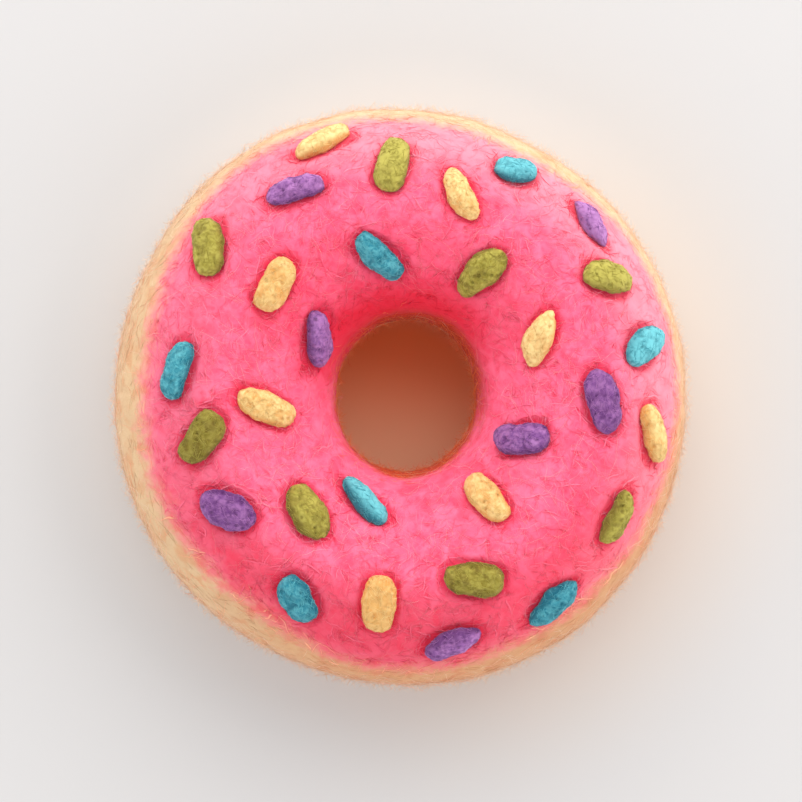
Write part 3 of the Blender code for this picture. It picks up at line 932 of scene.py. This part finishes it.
def finish_wool(shader, sheen):
    """The dull finish of wool."""
    values = {
        "Roughness": 0.95, "Specular IOR Level": 0.15, "Sheen Weight": sheen,
        "Sheen Roughness": 0.5, "Sheen Tint": (1.0, 0.85, 0.85, 1.0),
    }
    for name, value in values.items():
        shader.inputs[name].default_value = value


def fibre_wool(name, dark, light, blended=False, shaded=False):
    """Loose fibres, each of its own tone. Blended ones turn with the icing's colour under them, painted light
    and shade included, and shaded ones take the painted shade of the ring's butter.
    """
    material, tree, shader = material_tree(name)
    tone = tree.field("tone")
    colour = tone.mix(dark, light)
    if blended:
        # Painted light and shade: paler on the slope facing the window, deep red by the hole and low down,
        # dusky on the lower left
        colour = (tree.field("painted_light") * 0.9).mix(tree.field("red").mix(colour, RED_PAINTED_SHADE), PINK_PAINTED_LIGHT)
        colour = (tree.field("pink_shade") * 0.2).mix(colour, PINK_PAINTED_SHADE)
        colour = tree.field("edge").ease(0.1, 0.8).mix(PEACH_WOOL, colour)
    if shaded:
        # Painted shade: the butter fibres go straw on the left and amber on the lower right
        straw = (tree.field("dull") * 0.8).mix(colour, STRAW_PAINTED_SHADE[0])
        colour = (tree.field("low") * 0.75).mix(straw, AMBER_PAINTED_SHADE[0])
    tree.link(colour, shader, "Base Color")
    finish_wool(shader, FIBRE_SHEEN)
    return material


def make_floor():
    verts = np.array(((-1, -1, 0), (1, -1, 0), (1, 1, 0), (-1, 1, 0))) * FLOOR_SIZE / 2
    mesh = bpy.data.meshes.new("floor")
    mesh.from_pydata(verts.tolist(), [], [(0, 1, 2, 3)])
    floor = bpy.data.objects.new("floor", mesh)
    bpy.context.scene.collection.objects.link(floor)
    material, tree, shader = material_tree("pale_board")
    place = tree.add("ShaderNodeTexCoord", {}, {}, "Object")
    away = tree.add("ShaderNodeVectorMath", {"operation": "LENGTH"}, {"Vector": place}, "Value")
    outside = away.ease(HOLE_LIGHT_START, HOLE_LIGHT_END)
    across = tree.add("ShaderNodeSeparateXYZ", {}, {"Vector": place}, "Y")
    in_hole = across.ease(HOLE_LIGHT_TURN, -HOLE_LIGHT_TURN).mix(HOLE_FLOOR_TOP, HOLE_FLOOR_BOTTOM)
    side = tree.add("ShaderNodeVectorMath", {"operation": "DOT_PRODUCT"},
                    {"Vector": place, "Vector_001": (*plan_vector(WARM_BEARING, 1.0), 0.0)}, "Value")
    warm = away.ease(WARM_END, WARM_START) * (side / away).ease(-0.1, 1.0)
    # Painted light lightens the floor close round the ring, where its shadow falls
    open_floor = away.ease(NEAR_END, NEAR_START).mix(FLOOR_COLOUR, FLOOR_PAINTED_LIGHT)
    tree.link(outside.mix(in_hole, warm.mix(open_floor, FLOOR_BY_WOOL)), shader, "Base Color")
    tree.link(outside.mix(HOLE_GLOW, NO_GLOW), shader, "Emission Color")
    shader.inputs["Emission Strength"].default_value = 1.0
    shader.inputs["Roughness"].default_value = 0.7
    shader.inputs["Specular IOR Level"].default_value = 0.1
    mesh.materials.append(material)


def make_camera():
    data = bpy.data.cameras.new("camera")
    data.sensor_width = SENSOR
    data.lens = LENS
    camera = bpy.data.objects.new("camera", data)
    camera.location = (CAMERA_X, CAMERA_Y, CAMERA_HEIGHT)
    bpy.context.scene.collection.objects.link(camera)
    bpy.context.scene.camera = camera


def make_lights():
    data = bpy.data.lights.new("window", "AREA")
    data.shape = "RECTANGLE"
    data.size, data.size_y = WINDOW_WIDTH, WINDOW_HEIGHT
    data.energy = WINDOW_POWER
    data.color = WINDOW_COLOUR
    window = bpy.data.objects.new("window", data)
    way = Vector(window_way())
    window.location = way * WINDOW_DISTANCE
    window.rotation_euler = way.to_track_quat("Z", "Y").to_euler()
    bpy.context.scene.collection.objects.link(window)
    world = bpy.data.worlds.new("room")
    world.use_nodes = True
    tree = Tree(world.node_tree)
    way = tree.add("ShaderNodeTexCoord", {}, {}, "Generated")
    height = tree.add("ShaderNodeSeparateXYZ", {}, {"Vector": way}, "Z")
    facing = tree.add("ShaderNodeVectorMath", {"operation": "DOT_PRODUCT"},
                      {"Vector": way, "Vector_001": (*plan_vector(WINDOW_BEARING, 1.0), 0.0)}, "Value")
    glow = height.ease(0.2, 1.0).mix(facing.ease(-1.0, 1.0).mix(ROOM_DIM, ROOM_BRIGHT), ROOM_TOP)
    tree.link(glow, world.node_tree.nodes["Background"], "Color")
    bpy.context.scene.world = world
    bpy.context.scene.view_settings.view_transform = "Standard"


def main():
    relief, fibres = relief_tree(), fibre_tree()
    icing_wool = surface_wool("icing_wool", *PINK, blended=True, dimple_shade=0.35, shade=0.4)
    ring_wool = surface_wool("ring_wool", *BUTTER, blended=True, dimple_shade=0.15, shade=0.5)

    def felted(source, tuft_size, tuft_rise, spacing, depth, seed, material):
        name = source.name
        source.name = f"{name}_form"
        piece = grown(name, source, relief, tuft_size=tuft_size * MM, tuft_rise=tuft_rise * MM,
                      dimple_spacing=spacing * MM, dimple_depth=depth * MM, seed=seed, material=material)
        bpy.data.objects.remove(source)
        return piece

    def coat(name, source, where, density, length, thickness, curl, curl_size, height, rise, follow,
             points, dark, light, seed, slot):
        wool = fibre_wool(f"{name}_wool", dark, light, where in ("iced", "all"), where == "bare")
        piece = grown(name, source, fibres, where=where, density=density / MM**2, length=length * MM,
                      thickness=thickness * MM, curl=curl * MM, curl_size=curl_size * MM,
                      height=height * MM, rise=rise * MM, follow=follow, points=points, seed=seed,
                      material=wool)
        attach(piece, "root")

    icing = felted(icing_piece(), *ICING_FELTING, icing_wool)
    ring = felted(ring_piece(), *RING_FELTING, ring_wool)
    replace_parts(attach(icing, "root"), "icing")
    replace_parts(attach(ring, "root"), "ring")
    *felting, first_seed = SPRINKLE_FELTING
    for number, (name, (body, pale, deep)) in enumerate(SPRINKLE_WOOLS.items()):
        wool = surface_wool(f"{name}_wool", body, pale, deep, line_scale=0.8, mottle_scale=1.1, mottling=0.8,
                            dimple_shade=0.45, shade=0.6, shade_scale=0.7)
        piece = felted(sprinkle_piece(name), *felting, first_seed + number, wool)
        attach(piece, "root")
        seed = SPRINKLE_COAT_SEED + number
        coat(f"{name}_fibres", piece, "shown", *SPRINKLE_COAT, body, pale, seed, f"{name}_wool")
    skin = skin_piece()
    for number, (name, where, *sizes) in enumerate(COATS):
        slot = "ring_wool" if where == "bare" else "icing_wool"
        coat(name, skin, where, *sizes, number * COAT_SEED_STEP, slot)
    bpy.data.objects.remove(skin)
    make_floor()
    make_camera()
    make_lights()


main()
